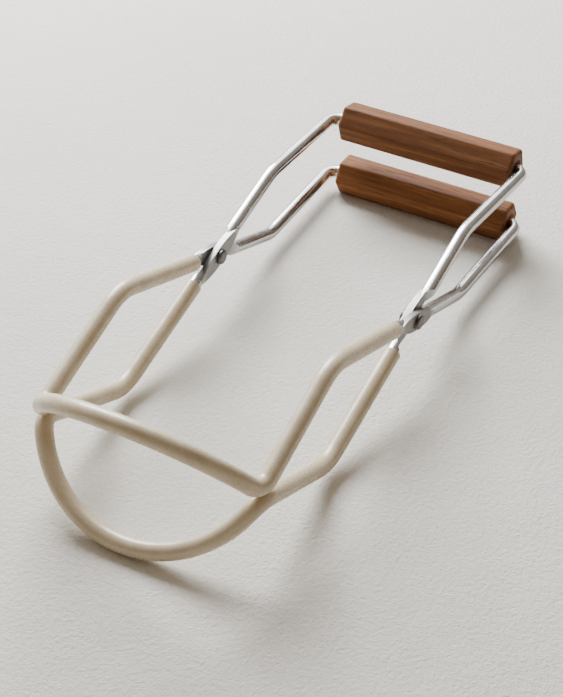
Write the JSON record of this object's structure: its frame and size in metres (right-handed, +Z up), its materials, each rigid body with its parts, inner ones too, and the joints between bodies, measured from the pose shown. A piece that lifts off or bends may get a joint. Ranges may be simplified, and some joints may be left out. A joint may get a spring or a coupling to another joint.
{
  "type": "jar lifter",
  "caption": "Canning jar lifter: two crossed steel wire frames on riveted pivots, dipped vinyl jaws that grip a jar's neck, and two turning wooden grips.",
  "frame": {"origin": "on the surface the lifter lies on, below the middle of its outer size", "axes": "+X across the lifter along its hinge axis, +Y from the jaws to the grips, +Z up from the surface it lies on"},
  "size_m": [0.1076, 0.2863, 0.0671],
  "materials": {
    "wire_steel": "polished bright wire with coined flats",
    "rivet_steel": "darker rolled rivet heads",
    "dip_vinyl": "satin ivory dip coating",
    "grip_wood": "oiled brown hardwood"
  },
  "bodies": {
    "inner_half": {"inner_frame": "wire_steel", "lower_jaw_coating": "dip_vinyl"},
    "outer_half": {"outer_frame": "wire_steel", "upper_jaw_coating": "dip_vinyl", "left_rivet": "rivet_steel", "right_rivet": "rivet_steel"},
    "upper_grip": {"upper_grip": "grip_wood"},
    "lower_grip": {"lower_grip": "grip_wood"}
  },
  "joints": [
    {"name": "pivot", "type": "hinge", "parent": "inner_half", "child": "outer_half", "pos_m": [0, 0.01601, 0.02792], "axis": [-1, 0, 0], "range_deg": [0, 60]},
    {"name": "upper_grip_spin", "type": "hinge", "parent": "inner_half", "child": "upper_grip", "pos_m": [0, 0.13398, 0.03853], "axis": [1, 0, 0], "continuous": true},
    {"name": "lower_grip_spin", "type": "hinge", "parent": "outer_half", "child": "lower_grip", "pos_m": [0, 0.13289, 0.00875], "axis": [1, 0, 0], "continuous": true}
  ]
}
